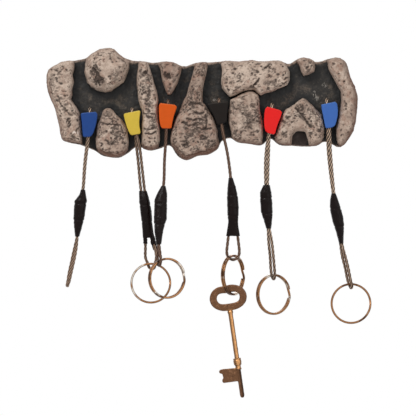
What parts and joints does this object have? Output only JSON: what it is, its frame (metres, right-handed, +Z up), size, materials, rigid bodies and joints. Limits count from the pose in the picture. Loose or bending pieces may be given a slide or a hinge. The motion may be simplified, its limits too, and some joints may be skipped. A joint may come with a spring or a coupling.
{
  "type": "key rack",
  "caption": "Wall plaque of stones with cracks that hold small tapered cable fobs for keys; the fobs lift out and carry split rings, one with a bit key.",
  "frame": {"origin": "centre of the plaque's back face, on the wall", "axes": "+Z up, -Y out of the wall towards the user, +Y into the wall"},
  "size_m": [0.2116, 0.0371, 0.2281],
  "materials": {
    "slab": "black painted backing board",
    "stone": "cast rock in pinkish beige with a grey-brown wash",
    "plate": "zinc plated sheet steel",
    "screw": "zinc plated",
    "blue_paint": "anodised blue",
    "yellow_paint": "anodised yellow",
    "orange_paint": "anodised orange",
    "black_paint": "anodised black",
    "red_paint": "anodised red",
    "sky_paint": "anodised lighter blue",
    "cable": "stranded steel wire",
    "ferrule": "swaged, inside the sleeve",
    "sleeve": "black heat-shrink tube",
    "ring": "bright nickel split ring",
    "key": "old brass, darker on the bow"
  },
  "bodies": {
    "rack": {"backing_slab": "slab", "left_end_stone": "stone", "boulder_stone": "stone", "egg_stone": "stone", "pillar_stone": "stone", "tapered_stone": "stone", "bottle_stone": "stone", "upper_block_stone": "stone", "lower_block_stone": "stone", "small_stone": "stone", "gable_stone": "stone", "right_end_stone": "stone", "left_hanger_plate": "plate", "left_hanger_screws": "screw", "right_hanger_plate": "plate", "right_hanger_screws": "screw"},
    "blue_fob": {"blue_nut": "blue_paint", "blue_cable": "cable", "blue_ferrule": "ferrule", "blue_sleeve": "sleeve"},
    "yellow_fob": {"yellow_nut": "yellow_paint", "yellow_cable": "cable", "yellow_ferrule": "ferrule", "yellow_sleeve": "sleeve"},
    "orange_fob": {"orange_nut": "orange_paint", "orange_cable": "cable", "orange_ferrule": "ferrule", "orange_sleeve": "sleeve"},
    "black_fob": {"black_nut": "black_paint", "black_cable": "cable", "black_ferrule": "ferrule", "black_sleeve": "sleeve"},
    "red_fob": {"red_nut": "red_paint", "red_cable": "cable", "red_ferrule": "ferrule", "red_sleeve": "sleeve"},
    "sky_fob": {"sky_nut": "sky_paint", "sky_cable": "cable", "sky_ferrule": "ferrule", "sky_sleeve": "sleeve"},
    "yellow_split_ring": {"yellow_ring": "ring"},
    "orange_split_ring": {"orange_ring": "ring"},
    "black_split_ring": {"black_ring": "ring"},
    "red_split_ring": {"red_ring": "ring"},
    "sky_split_ring": {"sky_ring": "ring"},
    "key": {"bit_key": "key"}
  },
  "joints": [
    {"name": "blue_fob_lift_out", "type": "slide", "parent": "rack", "child": "blue_fob", "axis": [0, -0.9781, 0.208], "range_m": [0, 0.03]},
    {"name": "yellow_fob_lift_out", "type": "slide", "parent": "rack", "child": "yellow_fob", "axis": [0, -0.9781, 0.208], "range_m": [0, 0.006]},
    {"name": "orange_fob_lift_out", "type": "slide", "parent": "rack", "child": "orange_fob", "axis": [0, -0.9781, 0.208], "range_m": [0, 0.03]},
    {"name": "black_fob_lift_out", "type": "slide", "parent": "rack", "child": "black_fob", "axis": [0, -0.9781, 0.208], "range_m": [0, 0.03]},
    {"name": "red_fob_lift_out", "type": "slide", "parent": "rack", "child": "red_fob", "axis": [0, -0.9781, 0.208], "range_m": [0, 0.03]},
    {"name": "sky_fob_lift_out", "type": "slide", "parent": "rack", "child": "sky_fob", "axis": [0, -0.9781, 0.208], "range_m": [0, 0.03]},
    {"name": "yellow_ring_swing", "type": "hinge", "parent": "yellow_fob", "child": "yellow_split_ring", "pos_m": [-0.033, -0.016, -0.1039], "axis": [1, 0, 0], "range_deg": [-2, 28]},
    {"name": "orange_ring_swing", "type": "hinge", "parent": "orange_fob", "child": "orange_split_ring", "pos_m": [-0.0274, -0.0325, -0.1049], "axis": [-0.4695, 0.8829, 0], "range_deg": [-45, 0]},
    {"name": "black_ring_swing", "type": "hinge", "parent": "black_fob", "child": "black_split_ring", "pos_m": [0.0205, -0.0185, -0.1012], "axis": [1, 0, 0], "range_deg": [-30, 3]},
    {"name": "red_ring_swing", "type": "hinge", "parent": "red_fob", "child": "red_split_ring", "pos_m": [0.0468, -0.0185, -0.1138], "axis": [-0.5736, 0.8191, 0], "range_deg": [-50, 40]},
    {"name": "sky_ring_swing", "type": "hinge", "parent": "sky_fob", "child": "sky_split_ring", "pos_m": [0.0972, -0.0185, -0.1196], "axis": [0, 1, 0], "range_deg": [-50, 50]},
    {"name": "key_swing", "type": "hinge", "parent": "black_split_ring", "child": "key", "pos_m": [0.0205, -0.0185, -0.1238], "axis": [0.5299, 0.848, 0], "range_deg": [-25, 4]}
  ]
}
